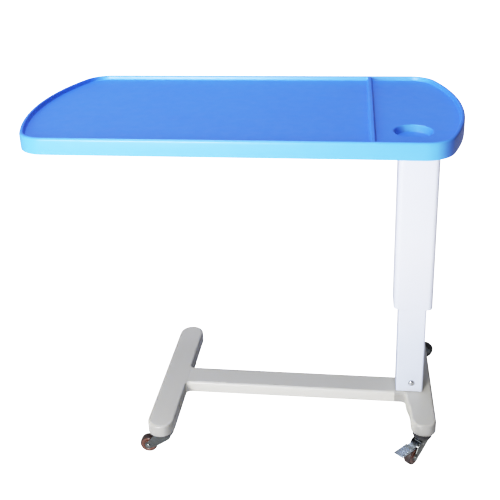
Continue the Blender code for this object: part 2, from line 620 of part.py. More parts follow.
# ------------------------------------------------------------------ castors
# Each is built about its own swivel axis with the wheel trailing along local +X, then turned to
# its heading.
PEDAL_X, PEDAL_Z = 0.0130, 0.0394     # origin of the brake pedal
PEDAL_T = 0.0016
PEDAL_PIN_Z = 0.0005                  # hinge pin axis above the pedal origin


def cheek(y):
    """Fork side from y outwards along +Y: an arm tapering down to a rounded eye at the axle."""
    eye_r, steps = 0.0078, 8
    start, stop = 232, 455            # sweep of the eye in degrees
    outline = [(-0.0125, 0.0470), (-0.0140, 0.0440), (-0.0100, 0.0375)]      # (x, z)
    for i in range(steps + 1):
        angle = math.radians(start + (stop - start) * i / steps)
        outline.append((TRAIL + eye_r * math.cos(angle), AXLE_Z + eye_r * math.sin(angle)))
    outline += [(0.0232, 0.0330), (0.0212, 0.0385), (0.0190, 0.0470)]
    bm = bmesh.new()
    face = bm.faces.new([bm.verts.new((x, 0.0, z)) for x, z in outline])
    made = bmesh.ops.extrude_face_region(bm, geom=[face])
    moved = [v for v in made["geom"] if isinstance(v, bmesh.types.BMVert)]
    bmesh.ops.translate(bm, vec=(0, CHEEK_T, 0), verts=moved)
    bmesh.ops.translate(bm, vec=(0, y, 0), verts=bm.verts[:])
    return bm


def build_cap_and_stem(tag, swivel):
    bore = STEM_R + GAP
    bm = turned([(bore, 0.0557), (0.0185, 0.0557), (0.0205, 0.0547), (0.0200, 0.0508),
                 (bore, 0.0508)], 20, ring=True)
    add_object("castor_cap_" + tag, bm, "black_plastic", swivel)
    bm = turned([(0.0, 0.0385), (0.0072, 0.0385), (0.0078, 0.0412), (STEM_R, 0.0412),
                 (STEM_R, 0.0740), (0.0042, 0.0750), (0.0, 0.0750)], 12)
    add_object("castor_stem_" + tag, bm, "steel", swivel)


def build_fork(tag, swivel):
    """Domed swivel head with two cheeks."""
    bore = STEM_R + 0.0004
    bm = turned([(bore, 0.0505), (0.0176, 0.0505), (0.0180, 0.0480), (0.0152, 0.0446),
                 (0.0120, 0.0438), (bore, 0.0438)], 20, ring=True)
    fork = add_object("castor_fork_" + tag, bm, "steel", swivel)
    for side, y in (("a", -CHEEK_Y - CHEEK_T), ("b", CHEEK_Y)):
        join(fork, "cheek_%s_%s" % (side, tag), cheek(y), swivel)
    cut(fork, "fork_axle_holes_" + tag, cross_rod(0.0034, TRAIL, AXLE_Z, 0.03, 12), swivel)
    return fork


def build_axle(tag, swivel):
    """Axle with a rivet head at both ends."""
    seat = CHEEK_Y + CHEEK_T + GAP
    half = [(0.0, 0.0140), (0.0042, 0.0134), (0.0050, seat), (0.0030, seat)]
    add_object("castor_axle_" + tag, lay_down(turned(half + mirrored(half), 12)), "bright_steel",
               swivel, loc=(TRAIL, 0.0, AXLE_Z))


def build_wheel(tag, wheel):
    """Hub and tyre, which turn together."""
    half_w = WHEEL_W / 2
    half = [(0.0034, half_w + 0.0008), (0.0058, half_w + 0.0008), (0.0066, half_w - 0.0018),
            (0.0140, half_w - 0.0008), (0.0160, half_w - 0.0008)]
    bm = turned(half + mirrored(half), 18, ring=True)
    add_object("castor_hub_" + tag, lay_down(bm), "amber_hub", wheel)
    half = [(0.0164, half_w - 0.0006), (0.0174, half_w - 0.0002), (0.0187, half_w - 0.0024)]
    bm = turned(half + [(WHEEL_R, 0.0)] + mirrored(half), 24, ring=True)
    add_object("castor_tyre_" + tag, lay_down(bm), "black_tyre", wheel)


def build_brake(tag, swivel, fork):
    """Ribbed steel pedal over the wheel, hinged on a pin in the cheeks."""
    pivot = empty("pedal_axis_" + tag, (PEDAL_X, 0.0, PEDAL_Z),
                  (0.0, math.radians(-8.0), 0.0), swivel)
    pedal = add_object("brake_pedal_" + tag, box(0.0055, 0.0715, -0.0082, 0.0082, 0.0, PEDAL_T),
                       "steel", pivot)
    join(pedal, "pedal_boss_" + tag, cross_rod(0.0029, 0, PEDAL_PIN_Z, 0.0080, 12), pivot)
    join(pedal, "pedal_neck_" + tag, box(0.0, 0.0070, -0.0078, 0.0078, 0.0, PEDAL_T), pivot)
    join(pedal, "pedal_tread_" + tag, box(0.0285, 0.0725, -0.0112, 0.0112, 0.0, PEDAL_T), pivot)
    for k in range(4):
        x = 0.0400 + 0.0085 * k
        join(pedal, "pedal_rib_%d_%s" % (k, tag),
             box(x, x + 0.0020, -0.0100, 0.0100, 0.0010, 0.0026), pivot)
    cut(pedal, "pedal_bore_" + tag, cross_rod(0.0019, 0, PEDAL_PIN_Z, 0.02, 12), pivot)
    pin_z = PEDAL_Z + PEDAL_PIN_Z
    pin = lay_down(cylinder(0.0015, (0, 0, -0.0120), (0, 0, 0.0120), 12))
    add_object("pedal_pin_" + tag, pin, "bright_steel", swivel, loc=(PEDAL_X, 0.0, pin_z))
    cut(fork, "pedal_pin_holes_" + tag, cross_rod(0.0018, PEDAL_X, pin_z, 0.03, 12), swivel)


def build_castor(tag, x, y, heading, braked):
    swivel = empty("swivel_axis_" + tag, (x, y, 0.0), (0.0, 0.0, math.radians(heading)))
    wheel = empty("wheel_axis_" + tag, (TRAIL, 0.0, AXLE_Z), parent=swivel)
    build_cap_and_stem(tag, swivel)
    fork = build_fork(tag, swivel)
    build_axle(tag, swivel)
    build_wheel(tag, wheel)
    if braked:
        build_brake(tag, swivel, fork)


# ------------------------------------------------------------------ assembly
build_tray_top()
build_underpan()
build_tray_frame()
build_tray_screws()
build_column()
build_base_frame()
build_cross_bolt()
build_gas_spring()
build_lever()
build_lever_grip()
build_lever_bracket()
build_feet()
build_beam()
for castor_tag, castor in CASTORS.items():
    build_castor(castor_tag, *castor)
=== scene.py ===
# Overbed table: a blue tray on an offset column, over an H-shaped base on four castors.
# Metres, Z up, floor at z = 0. The tray's length runs along X with the column near its +X end;
# the front is -Y, left is -X. Plan positions are drawn from a datum on the cross beam's centre
# line, with y = 0 through the column axis, and are then shifted onto the CAD frame.
import math
import json

import bpy
import bmesh
from mathutils import Vector, Matrix, geometry


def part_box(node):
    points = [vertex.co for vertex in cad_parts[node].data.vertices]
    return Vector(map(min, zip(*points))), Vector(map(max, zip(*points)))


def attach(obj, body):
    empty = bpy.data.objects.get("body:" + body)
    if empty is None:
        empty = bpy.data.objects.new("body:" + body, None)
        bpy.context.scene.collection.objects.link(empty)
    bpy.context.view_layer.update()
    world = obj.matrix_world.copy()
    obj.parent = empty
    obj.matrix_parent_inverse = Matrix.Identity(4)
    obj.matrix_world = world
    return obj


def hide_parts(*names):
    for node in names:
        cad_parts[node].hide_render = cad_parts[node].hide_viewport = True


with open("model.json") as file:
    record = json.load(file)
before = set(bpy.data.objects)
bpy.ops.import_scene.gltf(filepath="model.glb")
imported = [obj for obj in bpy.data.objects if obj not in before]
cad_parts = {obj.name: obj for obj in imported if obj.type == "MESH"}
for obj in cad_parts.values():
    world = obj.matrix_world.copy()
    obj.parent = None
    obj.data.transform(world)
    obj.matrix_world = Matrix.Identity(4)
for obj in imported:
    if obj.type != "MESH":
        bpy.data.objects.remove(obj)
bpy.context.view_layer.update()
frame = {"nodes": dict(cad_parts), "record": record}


def plan_centre(node):
    """Centre of a CAD node's box in x and y."""
    low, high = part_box(node)
    return (low.x + high.x) / 2, (low.y + high.y) / 2


TRAY_X = -0.0185                    # tray centre from the datum
tray_centre_x, tray_centre_y = plan_centre("tray_top")
DATUM_X, DATUM_Y = tray_centre_x - TRAY_X, tray_centre_y
SHIFT = Matrix.Translation((DATUM_X, DATUM_Y, 0.0))

# ------------------------------------------------------------------ dimensions
TRAY_LENGTH, TRAY_DEPTH = 0.856, 0.435
TRAY_TOP, FLOOR_DROP = 0.741, 0.009
FLOOR_Z = TRAY_TOP - FLOOR_DROP     # sunken floor inside the rim
UNDERSIDE_Z = 0.7285
END_RADIUS, CORNER_RADIUS = 0.487, 0.058
RIB_X = 0.2330                      # ridge across the tray floor
CUP_X, CUP_Y, CUP_RADIUS = 0.3065, -0.1285, 0.0355
CUP_BOSS_Z = 0.7171                 # flat bottom of the boss under the cup recess

COLUMN_X = 0.3290
SLEEVE = dict(width=0.0815, depth=0.0660, radius=0.0110, wall=0.003, bottom=0.2980, top=0.6862)
TUBE = dict(width=0.0590, depth=0.0456, radius=0.0045, wall=0.002, bottom=0.0824, top=0.6720)

BASE_TOP, BASE_BOTTOM, COVER_WALL = 0.0820, 0.0560, 0.0025
BEAM_DEPTH = 0.0560
LEFT_FOOT = dict(x0=-0.2315, x1=-0.1740, front=-0.1790, back=0.1940, tip=0.030)
RIGHT_FOOT = dict(x0=0.3277, x1=0.3802, front=-0.1330, back=0.2400, tip=0.025)
RIGHT_SEAM_X = 0.2966               # joint between the beam cover and the right foot cover
BULGE_X = 0.3205                    # left face of the right foot's widening round the column
BOLT_X, BOLT_Z = 0.3330, 0.1050

WHEEL_RADIUS, WHEEL_WIDTH = 0.0190, 0.0160
AXLE_Z = WHEEL_RADIUS               # the wheels stand on the floor
TRAIL = 0.0360                      # axle from the swivel stem
STEM_RADIUS = 0.0050
CHEEK_Y, CHEEK_THICKNESS = 0.0094, 0.0018
# castor: (heading in degrees from +X, has a brake pedal)
CASTORS = {
    "front_left": (180.0, False),
    "rear_left": (270.0, True),
    "front_right": (231.0, True),
    "rear_right": (30.0, False),
}


# ------------------------------------------------------------------ materials
class Shader:
    """One procedural material; methods add nodes and return their output sockets."""

    def __init__(self, name):
        self.mat = bpy.data.materials.new(name)
        self.mat.use_nodes = True
        self.tree = self.mat.node_tree
        self.tree.nodes.clear()
        self.out = self.node("OutputMaterial")
        self.bsdf = self.node("BsdfPrincipled")
        self.link(self.bsdf.outputs[0], self.out.inputs[0])
        self.coord = self.node("TexCoord").outputs["Object"]

    def node(self, kind):
        return self.tree.nodes.new("ShaderNode" + kind)

    def link(self, source, target):
        self.tree.links.new(source, target)

    def put(self, socket, value):
        """Give a socket a number, an RGB colour or a link."""
        if isinstance(value, (int, float)):
            socket.default_value = value
        elif isinstance(value, tuple):
            socket.default_value = (*value, 1.0)
        else:
            self.link(value, socket)

    def set(self, name, value):
        self.put(self.bsdf.inputs[name], value)

    def noise(self, scale, detail=3.0, rough=0.55, stretch=None, distortion=0.0):
        node = self.node("TexNoise")
        node.inputs["Scale"].default_value = scale
        node.inputs["Detail"].default_value = detail
        node.inputs["Roughness"].default_value = rough
        node.inputs["Distortion"].default_value = distortion
        source = self.coord
        if stretch is not None:
            mapping = self.node("Mapping")
            mapping.inputs["Scale"].default_value = stretch
            self.link(self.coord, mapping.inputs["Vector"])
            source = mapping.outputs[0]
        self.link(source, node.inputs["Vector"])
        return node.outputs["Fac"]

    def remap(self, value, span, to=(0.0, 1.0)):
        node = self.node("MapRange")
        node.clamp = True
        self.link(value, node.inputs["Value"])
        node.inputs["From Min"].default_value = span[0]
        node.inputs["From Max"].default_value = span[1]
        node.inputs["To Min"].default_value = to[0]
        node.inputs["To Max"].default_value = to[1]
        return node.outputs["Result"]

    def math(self, operation, first, second):
        node = self.node("Math")
        node.operation = operation
        self.put(node.inputs[0], first)
        self.put(node.inputs[1], second)
        return node.outputs[0]

    def mix(self, factor, first, second):
        node = self.node("Mix")
        node.data_type = "RGBA"
        self.put(node.inputs[0], factor)
        self.put(node.inputs[6], first)
        self.put(node.inputs[7], second)
        return node.outputs[2]

    def occlusion(self, distance):
        node = self.node("AmbientOcclusion")
        node.samples = 4
        node.inputs["Distance"].default_value = distance
        return node.outputs["AO"]

    def component(self, vector, axis):
        node = self.node("SeparateXYZ")
        self.link(vector, node.inputs[0])
        return node.outputs[axis]

    def facing(self, axis):
        """One component of the surface normal."""
        return self.component(self.node("NewGeometry").outputs["Normal"], axis)

    def bump(self, height, strength, distance, normal=None):
        node = self.node("Bump")
        node.inputs["Strength"].default_value = strength
        node.inputs["Distance"].default_value = distance
        self.link(height, node.inputs["Height"])
        if normal is not None:
            self.link(normal, node.inputs["Normal"])
        return node.outputs["Normal"]


def dimmed(rgb, factor):
    return tuple(c * factor for c in rgb)


def plastic(name, rgb, mottle, rough, scratch, corner_shade, grain=900.0, grain_height=0.00004,
            front=None, side=None):
    """Moulded plastic: soft mottling, fine grain, hairline scratches, painted shade in the
    corners.

    The corner, front and side pairs are (colour, strength): the corner pair paints shade into
    corners and creases, front paints light or shade onto faces turned to -Y, side paints shade
    onto faces turned to +X.
    """
    m = Shader(name)
    big = m.noise(scale=5.0, detail=4.0, rough=0.6)
    mid = m.noise(scale=42.0, detail=4.0, rough=0.6)
    colour = m.mix(m.remap(big, span=(0.30, 0.70)), rgb, mottle)
    paler = tuple(min(1.0, c * 1.12 + 0.01) for c in mottle)
    colour = m.mix(m.remap(mid, span=(0.35, 0.75), to=(0.0, 0.10)), colour, paler)
    # painted shade: corners and creases darkened where the occlusion finds nearby surfaces
    corners = m.remap(m.occlusion(distance=0.010), span=(0.35, 0.95), to=(corner_shade[1], 0.0))
    colour = m.mix(corners, colour, corner_shade[0])
    # painted light or shade on faces turned to -Y
    if front is not None:
        turned = m.remap(m.facing(axis=1), span=(-0.85, -0.10), to=(front[1], 0.0))
        colour = m.mix(turned, colour, front[0])
    # painted shade on faces turned to +X
    if side is not None:
        turned = m.remap(m.facing(axis=0), span=(0.35, 0.80), to=(0.0, side[1]))
        colour = m.mix(turned, colour, side[0])
    m.set("Base Color", colour)

    # two sets of crossing hairlines that roughen the gloss
    hair_x = m.noise(scale=60.0, detail=2.0, rough=0.5, stretch=(1.0, 26.0, 1.0), distortion=0.3)
    hair_y = m.noise(scale=70.0, detail=2.0, rough=0.5, stretch=(22.0, 1.5, 1.0), distortion=0.3)
    lines = m.math("MAXIMUM", m.remap(hair_x, span=(0.66, 0.74)),
                   m.remap(hair_y, span=(0.68, 0.76)))
    gloss = m.remap(mid, span=(0.3, 0.7), to=(rough - 0.04, rough + 0.05))
    m.set("Roughness", m.math("ADD", gloss, m.math("MULTIPLY", lines, scratch)))

    fine = m.bump(m.noise(scale=grain, detail=2.0, rough=0.5), strength=0.5,
                  distance=grain_height)
    m.set("Normal", m.bump(m.noise(scale=6.0, detail=1.0, rough=0.4), strength=0.35,
                           distance=0.0006, normal=fine))
    return m.mat


def paint(name, rgb, rough, dirt_and_shade_rgb, low_end_shade=None):
    """Powder coat: orange peel, slight tone drift, painted shade in the corners, and dirt specks.

    The low-end pair is the (colour, strength) of a painted shade that fades in toward the low end.
    """
    m = Shader(name)
    big = m.noise(scale=7.0, detail=4.0, rough=0.6)
    mid = m.noise(scale=70.0, detail=4.0, rough=0.6)
    colour = m.mix(m.remap(big, span=(0.3, 0.7)), rgb, dimmed(rgb, 0.965))
    # painted shade: darker toward the low end
    if low_end_shade is not None:
        height = m.component(m.coord, axis=2)
        colour = m.mix(m.remap(height, span=(0.20, 0.42), to=(low_end_shade[1], 0.0)),
                       colour, low_end_shade[0])
    # painted shade in the corners, darkened where the occlusion finds nearby surfaces
    corners = m.remap(m.occlusion(distance=0.012), span=(0.30, 0.92), to=(0.35, 0.0))
    colour = m.mix(corners, colour, dirt_and_shade_rgb)
    specks = m.remap(m.noise(scale=420.0, detail=2.0, rough=0.5),
                     span=(0.74, 0.80), to=(0.0, 0.25))
    m.set("Base Color", m.mix(specks, colour, dirt_and_shade_rgb))
    scuff = m.remap(m.noise(scale=24.0, detail=5.0, rough=0.7, stretch=(3.0, 3.0, 0.5)),
                    span=(0.55, 0.75), to=(0.0, 0.12))
    gloss = m.remap(mid, span=(0.3, 0.7), to=(rough - 0.03, rough + 0.05))
    m.set("Roughness", m.math("ADD", gloss, scuff))
    peel = m.noise(scale=260.0, detail=2.0, rough=0.5)
    m.set("Normal", m.bump(peel, strength=0.5, distance=0.00005))
    return m.mat


def metal(name, rgb, rough, dark, brushed=(1.0, 1.0, 1.0), corner_shade=0.45, stain=0.35):
    """Plated or polished steel: cloudy plating, brushed lines, painted shade in the corners."""
    m = Shader(name)
    cloud = m.noise(scale=120.0, detail=4.0, rough=0.6)
    fine = m.noise(scale=600.0, detail=3.0, rough=0.6, stretch=brushed)
    colour = m.mix(m.remap(cloud, span=(0.38, 0.68), to=(0.0, stain)), rgb, dark)
    # painted shade: corners darkened where the occlusion finds nearby surfaces
    corners = m.remap(m.occlusion(distance=0.006), span=(0.25, 0.85), to=(corner_shade, 0.0))
    m.set("Base Color", m.mix(corners, colour, dimmed(dark, 0.35)))
    m.set("Metallic", 1.0)
    gloss = m.remap(cloud, span=(0.3, 0.7), to=(rough - 0.05, rough + 0.08))
    m.set("Roughness", m.math("ADD", gloss, m.remap(fine, span=(0.3, 0.7), to=(-0.05, 0.07))))
    m.set("Normal", m.bump(fine, strength=0.25, distance=0.00003))
    return m.mat


def amber():
    """Translucent brown wheel centre."""
    m = Shader("amber_hub")
    cloud = m.noise(scale=90.0, detail=3.0, rough=0.6)
    colour = m.mix(m.remap(cloud, span=(0.35, 0.65)),
                   (0.135, 0.040, 0.020), (0.080, 0.022, 0.012))
    # painted shade in the corners, darkened where the occlusion finds nearby surfaces
    corners = m.remap(m.occlusion(distance=0.004), span=(0.3, 0.9), to=(0.75, 0.0))
    m.set("Base Color", m.mix(corners, colour, (0.030, 0.008, 0.005)))
    m.set("Roughness", m.remap(m.noise(scale=300.0, detail=3.0, rough=0.5),
                               span=(0.3, 0.7), to=(0.22, 0.36)))
    m.set("Coat Weight", 0.25)
    m.set("Subsurface Weight", 0.15)
    m.set("Subsurface Scale", 0.002)
    m.set("Normal", m.bump(m.noise(scale=500.0, detail=2.0, rough=0.5),
                           strength=0.3, distance=0.00004))
    return m.mat


def tyre(name, rgb):
    """Dusty dark rubber."""
    m = Shader(name)
    cloud = m.noise(scale=150.0, detail=4.0, rough=0.6)
    colour = m.mix(m.remap(cloud, span=(0.35, 0.70)), rgb, dimmed(rgb, 0.6))
    dust = m.remap(m.noise(scale=38.0, detail=5.0, rough=0.7), span=(0.50, 0.72), to=(0.0, 0.35))
    m.set("Base Color", m.mix(dust, colour, (0.060, 0.040, 0.033)))
    m.set("Roughness", m.remap(m.noise(scale=220.0, detail=3.0, rough=0.5),
                               span=(0.3, 0.7), to=(0.40, 0.62)))
    m.set("Normal", m.bump(m.noise(scale=420.0, detail=3.0, rough=0.5),
                           strength=0.5, distance=0.00008))
    return m.mat


# tray blue: front paints light onto faces turned to -Y, side paints shade onto faces turned to +X,
# and the corner pair paints shade
BLUE = plastic("tray_blue", rgb=(0.050, 0.238, 1.00), mottle=(0.058, 0.255, 1.00), rough=0.36,
               grain=700.0, grain_height=0.00005, scratch=0.10,
               corner_shade=((0.03, 0.12, 0.45), 0.35), front=((0.14, 0.47, 0.95), 0.75),
               side=((0.020, 0.120, 0.70), 0.85))
# base cover: front and side paint shade onto faces turned to -Y and to +X, and the corner pair
# paints shade
GREY = plastic("base_cover", rgb=(0.665, 0.645, 0.568), mottle=(0.635, 0.615, 0.542), rough=0.34,
               grain=800.0, scratch=0.06, corner_shade=((0.27, 0.25, 0.22), 0.45),
               front=((0.270, 0.268, 0.264), 0.80), side=((0.120, 0.117, 0.108), 0.72))
# painted light: a lighter copy of the base cover for the cross beam, with a lighter front and less
# corner shade
GREY_BEAM_LIT = plastic("base_cover_beam_lit", rgb=(0.690, 0.670, 0.590), mottle=(0.665, 0.645, 0.568),
                    rough=0.34, grain=800.0, scratch=0.06, corner_shade=((0.27, 0.25, 0.22), 0.35),
                    front=((0.56, 0.555, 0.54), 0.6))
# column white: the low-end pair paints shade onto the lower column
WHITE = paint("column_white", rgb=(0.78, 0.81, 0.90), rough=0.36, dirt_and_shade_rgb=(0.50, 0.50, 0.50),
              low_end_shade=((0.60, 0.66, 0.80), 0.80))
FRAME_PAINT = paint("frame_paint", rgb=(0.30, 0.30, 0.31), rough=0.50,
                    dirt_and_shade_rgb=(0.12, 0.11, 0.10))
ZINC = metal("zinc_steel", rgb=(0.135, 0.145, 0.140), rough=0.30, dark=(0.050, 0.055, 0.050),
             corner_shade=0.85)
AXLE = metal("axle_steel", rgb=(0.24, 0.26, 0.25), rough=0.30, dark=(0.10, 0.11, 0.105), corner_shade=0.6)
PEDAL = metal("pedal_steel", rgb=(0.50, 0.57, 0.62), rough=0.34, dark=(0.22, 0.26, 0.29),
              brushed=(1.0, 14.0, 1.0), corner_shade=0.95)
BRIGHT = metal("bright_steel", rgb=(0.72, 0.73, 0.74), rough=0.18, dark=(0.45, 0.45, 0.45),
               stain=0.2)
NYLON = plastic("nylon", rgb=(0.045, 0.045, 0.050), mottle=(0.060, 0.060, 0.064), rough=0.50,
                scratch=0.06, corner_shade=((0.10, 0.095, 0.09), 0.3))
BLACK = plastic("black_plastic", rgb=(0.016, 0.016, 0.018), mottle=(0.022, 0.022, 0.024),
                rough=0.36, scratch=0.08, corner_shade=((0.05, 0.05, 0.05), 0.3))
AMBER = amber()
TYRE = tyre("castor_tyre", rgb=(0.026, 0.011, 0.008))
# painted shade: a blackened copy of the tyre look for the rear-right wheel, which sits in shade
TYRE_SHADED = tyre("castor_tyre_shaded", rgb=(0.016, 0.017, 0.016))
LOOK = {
    "tray_blue": BLUE, "base_cover": GREY, "column_white": WHITE, "frame_paint": FRAME_PAINT,
    "zinc_steel": ZINC, "bright_steel": BRIGHT, "nylon": NYLON, "amber_hub": AMBER,
    "castor_tyre": TYRE, "black_plastic": BLACK,
}


# ------------------------------------------------------------------ mesh helpers
def add_object(name, data):
    ob = bpy.data.objects.new(name, data)
    bpy.context.scene.collection.objects.link(ob)
    return ob


def piece(name, bm, mat, body, node, sharp=32.0, matrix=SHIFT):
    """Make an object that rides on a body and stands in for one CAD node."""
    bmesh.ops.remove_doubles(bm, verts=bm.verts[:], dist=1e-6)
    bmesh.ops.recalc_face_normals(bm, faces=bm.faces[:])
    me = bpy.data.meshes.new(name)
    bm.to_mesh(me)
    bm.free()
    me.transform(matrix)
    me.materials.append(mat)
    me.shade_smooth()
    me.set_sharp_from_angle(angle=math.radians(sharp))
    ob = add_object(name, me)
    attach(ob, body)
    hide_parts(node)


def join(bm, other):
    me = bpy.data.meshes.new("tmp")
    other.to_mesh(me)
    other.free()
    bm.from_mesh(me)
    bpy.data.meshes.remove(me)


def move(bm, x=0.0, y=0.0, z=0.0):
    bmesh.ops.translate(bm, vec=(x, y, z), verts=bm.verts[:])


def turn(bm, degrees, axis):
    bmesh.ops.rotate(bm, cent=(0, 0, 0), matrix=Matrix.Rotation(math.radians(degrees), 3, axis),
                     verts=bm.verts[:])


def lay_down(bm):
    """Turn a Z axis onto Y: +Z becomes -Y and +Y becomes +Z."""
    turn(bm, 90, 'X')
    return bm


def loft(loops, closed=False, caps=False):
    """Quads between successive closed loops of (x, y, z)."""
    bm = bmesh.new()
    rows = [[bm.verts.new(p) for p in loop] for loop in loops]
    pairs = list(zip(rows[:-1], rows[1:]))
    if closed:
        pairs.append((rows[-1], rows[0]))
    count = len(rows[0])
    for a, b in pairs:
        for i in range(count):
            j = (i + 1) % count
            bm.faces.new((a[i], a[j], b[j], b[i]))
    if caps:
        bm.faces.new(rows[0])
        bm.faces.new(rows[-1])
    return bm


def circle(cx, cy, radius, count):
    return [(cx + radius * math.cos(2 * math.pi * k / count),
             cy + radius * math.sin(2 * math.pi * k / count)) for k in range(count)]


def lathe(profile, segments, closed=True):
    """Turned about Z from (radius, height) points; open profiles start and end on the axis."""
    bm = bmesh.new()
    rows = []
    for radius, z in profile:
        ring = circle(0, 0, radius, segments) if radius > 0.0 else [(0, 0)]
        rows.append([bm.verts.new((x, y, z)) for x, y in ring])
    pairs = list(zip(rows[:-1], rows[1:]))
    if closed:
        pairs.append((rows[-1], rows[0]))
    for a, b in pairs:
        for i in range(segments):
            j = (i + 1) % segments
            if len(a) == 1:
                bm.faces.new((a[0], b[i], b[j]))
            elif len(b) == 1:
                bm.faces.new((a[i], a[j], b[0]))
            else:
                bm.faces.new((a[i], a[j], b[j], b[i]))
    return bm


def mirrored(profile):
    """A (radius, height) profile in reverse order with its heights negated."""
    return [(radius, -z) for radius, z in reversed(profile)]


def arc(cx, cy, radius, start, end, steps):
    """Points of an arc between two angles in degrees."""
    angles = [math.radians(start + (end - start) * i / steps) for i in range(steps + 1)]
    return [(cx + radius * math.cos(a), cy + radius * math.sin(a)) for a in angles]


def rounded_rect(cx, width, depth, radius, steps):
    points = []
    for k, (sx, sy) in enumerate(((1, 1), (-1, 1), (-1, -1), (1, -1))):
        points += arc(cx + sx * (width / 2 - radius), sy * (depth / 2 - radius), radius,
                      90 * k, 90 * k + 90, steps)
    return points


def prism(outline, z0, z1):
    """Upright prism; returns the mesh with its top and bottom faces."""
    bm = bmesh.new()
    base = bm.faces.new([bm.verts.new((x, y, z0)) for x, y in outline])
    base.normal_update()
    if base.normal.z > 0:
        base.normal_flip()
    result = bmesh.ops.extrude_face_region(bm, geom=[base])
    upper = [v for v in result["geom"] if isinstance(v, bmesh.types.BMVert)]
    bmesh.ops.translate(bm, vec=(0, 0, z1 - z0), verts=upper)
    bmesh.ops.recalc_face_normals(bm, faces=bm.faces[:])
    bm.normal_update()
    top = max(bm.faces, key=lambda g: g.calc_center_median().z)
    bottom = min(bm.faces, key=lambda g: g.calc_center_median().z)
    return bm, top, bottom


def inset_rings(bm, face, steps):
    """Inset a face by successive (inset, rise) steps."""
    for inset, rise in steps:
        bmesh.ops.inset_region(bm, faces=[face], thickness=inset, depth=rise,
                               use_even_offset=True, use_boundary=True)


def round_steps(width, height, count):
    """(inset, rise) steps of a quarter ellipse from a wall to a flat face."""
    steps = []
    for k in range(count):
        t0, t1 = math.pi / 2 * k / count, math.pi / 2 * (k + 1) / count
        steps.append((width * (math.cos(t0) - math.cos(t1)),
                      height * (math.sin(t1) - math.sin(t0))))
    return steps


def block(x, y, z, radius):
    """Box between (low, high) pairs with rounded edges."""
    bm = bmesh.new()
    verts = bmesh.ops.create_cube(bm, size=1.0)["verts"]
    bmesh.ops.scale(bm, vec=[high - low for low, high in (x, y, z)], verts=verts)
    bmesh.ops.translate(bm, vec=[(low + high) / 2 for low, high in (x, y, z)], verts=verts)
    bmesh.ops.bevel(bm, geom=bm.edges[:], offset=radius, segments=2, profile=0.5, affect='EDGES')
    return bm


def interpolator(points):
    """Piecewise-linear function through sorted (u, value) points, flat outside."""
    def value_at(u):
        if u <= points[0][0]:
            return points[0][1]
        for (a, value_a), (b, value_b) in zip(points, points[1:]):
            if u <= b:
                return value_a + (value_b - value_a) * (u - a) / (b - a)
        return points[-1][1]
    return value_at


# ------------------------------------------------------------------ tray
# Outside wall: (inset from the outline, z), from the underside round the skirt to the top
SKIRT = [
    (0.0040, UNDERSIDE_Z), (0.0040, 0.7102), (0.0037, 0.7094), (0.0030, 0.7090),
    (0.0014, 0.7090), (0.0006, 0.7092), (0.0001, 0.7098), (0.0, 0.7106), (0.0, 0.7362),
    (0.0002, 0.7376), (0.0008, 0.7390), (0.0016, 0.7399), (0.0026, 0.7406), (0.0038, TRAY_TOP),
]
# Rim: (inset from the outline, height over the floor)
RIM = [
    (0.0050, 0.0090), (0.0058, 0.0090), (0.0064, 0.00885), (0.0069, 0.0084), (0.0073, 0.0076),
    (0.0076, 0.0065), (0.0080, 0.0045), (0.0084, 0.0026), (0.0088, 0.0013), (0.0093, 0.0005),
    (0.0099, 0.0001), (0.0106, 0.0),
]
# Rib: (distance from its centre line, height over the floor)
RIB = [
    (0.0, 0.0084), (0.0014, 0.0084), (0.0026, 0.0083), (0.0032, 0.0080), (0.0037, 0.0073),
    (0.0041, 0.0062), (0.0044, 0.0046), (0.0047, 0.0030), (0.0051, 0.0016), (0.0056, 0.0007),
    (0.0062, 0.0002), (0.0070, 0.0), (0.0086, 0.0),
]
# Cup recess: (radius, depth under the floor)
CUP = [
    (0.0, 0.0120), (0.0150, 0.0120), (0.0262, 0.0120), (0.0278, 0.0118), (0.0288, 0.0113),
    (0.0296, 0.0105), (0.0305, 0.0092), (0.0314, 0.0077), (0.0323, 0.0061), (0.0332, 0.0045),
    (0.0340, 0.0030), (0.0346, 0.0019), (0.0351, 0.0011), (0.0357, 0.0005), (0.0364, 0.0001),
    (0.0371, 0.0), (0.0386, 0.0),
]
RIDGE_BLEND, RIDGE_LIMIT = 0.0022, 0.0091   # fillet size and greatest height where ridges meet
rib_height, cup_depth = interpolator(RIB), interpolator(CUP)


def raised(a, b):
    """The higher of two ridges, filleted where they meet."""
    blend = min(RIDGE_BLEND, 2.0 * min(a, b))
    if blend < 1e-6:
        return max(a, b)
    overlap = max(blend - abs(a - b), 0.0) / blend
    return min(max(a, b) + overlap * overlap * blend / 4, RIDGE_LIMIT)


def long_edge_stations():
    """x stations of the long edges: an even pitch, and the rib's own lines near the rib."""
    even = [-0.340 + 0.06 * k for k in range(11)]
    stations = {round(x, 4) for x in even if abs(x - RIB_X) > 0.012}
    stations |= {round(RIB_X + s * u, 6) for u, _ in RIB for s in (-1, 1)}
    return sorted(stations)


STATIONS = long_edge_stations()


def tray_outline(inset):
    """Plan outline: straight long edges, rounded corners and bowed ends."""
    half = TRAY_DEPTH / 2
    end_x = TRAY_LENGTH / 2 - END_RADIUS
    corner_y = half - CORNER_RADIUS
    corner_x = end_x + math.sqrt((END_RADIUS - CORNER_RADIUS) ** 2 - corner_y ** 2)
    meet = math.degrees(math.atan2(corner_y, corner_x - end_x))
    corner = arc(corner_x, corner_y, CORNER_RADIUS - inset, 90, meet, 16)[:-1]
    end = corner + arc(end_x, 0, END_RADIUS - inset, meet, -meet, 40)
    end += [(x, -y) for x, y in reversed(corner)]
    right = [(x + TRAY_X, y) for x, y in end]
    left = [(-x + TRAY_X, -y) for x, y in end]
    return ([(x, half - inset) for x in STATIONS] + right
            + [(x, -half + inset) for x in reversed(STATIONS)] + left)


